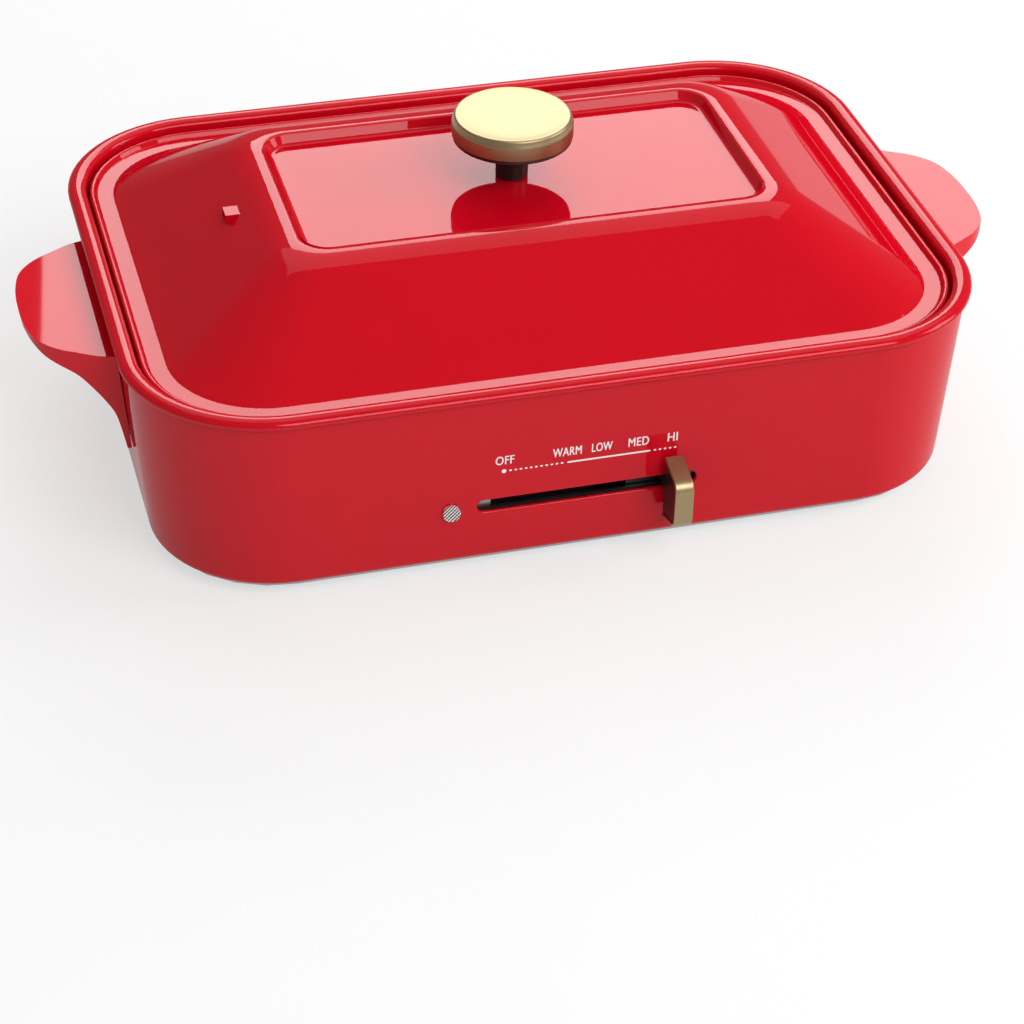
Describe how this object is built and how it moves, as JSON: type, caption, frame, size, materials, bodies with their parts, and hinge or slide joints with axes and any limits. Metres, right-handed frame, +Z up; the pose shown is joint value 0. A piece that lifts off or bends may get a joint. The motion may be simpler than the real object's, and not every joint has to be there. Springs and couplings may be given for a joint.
{
  "type": "electric hot plate",
  "caption": "Compact electric hot plate: deep enamelled base with side handles, sliding heat lever, lift-out cooking plate and lift-off domed lid with a round knob.",
  "frame": {"origin": "on the table under the middle of the cooker's overall box, at the underside of the rubber feet", "axes": "+X to the cooker's right along its long side, +Y away from the heat lever towards the rear, +Z up"},
  "size_m": [0.3752, 0.2403, 0.1245],
  "materials": {
    "red_enamel": "high gloss red enamel",
    "red_handle": "gloss red",
    "gold_satin": "satin gold plating",
    "black_plastic": "matte black",
    "nonstick_coating": "black non-stick coating",
    "tray_aluminium": "bright rolled",
    "heater_sheath": "oxidised",
    "steel": "zinc plated",
    "brass": "bright",
    "rubber": "matte",
    "lamp_glass": "clear faceted",
    "white_plastic": "matte",
    "wire_sleeve": "woven sleeve"
  },
  "bodies": {
    "base": {"base_plate": "steel", "foot_front_left": "rubber", "foot_front_right": "rubber", "foot_rear_left": "rubber", "foot_rear_right": "rubber", "base_screw_front_left": "steel", "base_screw_front_right": "steel", "base_screw_rear_left": "steel", "base_screw_rear_right": "steel", "body_shell": "red_enamel", "handle_left": "red_handle", "handle_right": "red_handle", "handle_screw_left_front": "steel", "handle_screw_left_rear": "steel", "handle_screw_right_front": "steel", "handle_screw_right_rear": "steel", "reflector_tray": "tray_aluminium", "tray_post_front_left": "steel", "tray_post_front_right": "steel", "tray_post_rear_left": "steel", "tray_post_rear_right": "steel", "tray_screw_front_left": "steel", "tray_screw_front_right": "steel", "tray_screw_rear_left": "steel", "tray_screw_rear_right": "steel", "heater_element": "heater_sheath", "heater_clip_front_left": "steel", "heater_clip_front_right": "steel", "heater_clip_rear": "steel", "control_bracket": "steel", "thermostat_body": "white_plastic", "lamp_lens": "lamp_glass", "lamp_holder": "black_plastic", "neon_lamp": "lamp_glass", "inlet_housing": "black_plastic", "inlet_pin_left": "brass", "inlet_magnet_plate_left": "steel", "inlet_pin_right": "brass", "inlet_magnet_plate_right": "steel", "terminal_block": "white_plastic", "thermal_fuse": "white_plastic", "wire_inlet_left": "wire_sleeve", "wire_inlet_right": "wire_sleeve", "wire_thermostat": "wire_sleeve", "wire_fuse": "wire_sleeve", "wire_heater": "wire_sleeve"},
    "plate": {"cooking_plate": "nonstick_coating"},
    "lid": {"lid_shell": "red_enamel", "knob_stem": "black_plastic", "knob_ring": "black_plastic", "knob_cap": "gold_satin", "knob_washer": "steel", "knob_screw": "steel"},
    "lever": {"lever_cap": "gold_satin", "lever_core": "black_plastic", "cam_slide": "black_plastic"},
    "plunger": {"thermostat_plunger": "brass"}
  },
  "joints": [
    {"name": "plate_lift", "type": "slide", "parent": "base", "child": "plate", "axis": [0, 0, 1], "range_m": [0, 0.08]},
    {"name": "lid_lift", "type": "slide", "parent": "plate", "child": "lid", "axis": [0, 0, 1], "range_m": [0, 0.12]},
    {"name": "lever_slide", "type": "slide", "parent": "base", "child": "lever", "axis": [1, 0, 0], "range_m": [-0.062, 0]},
    {"name": "thermostat_plunger_slide", "type": "slide", "parent": "base", "child": "plunger", "axis": [0, 1, 0], "range_m": [-0.004, 0]}
  ],
  "couplings": [
    {"joint": "thermostat_plunger_slide", "follows": "lever_slide", "ratio": 0.0645}
  ]
}
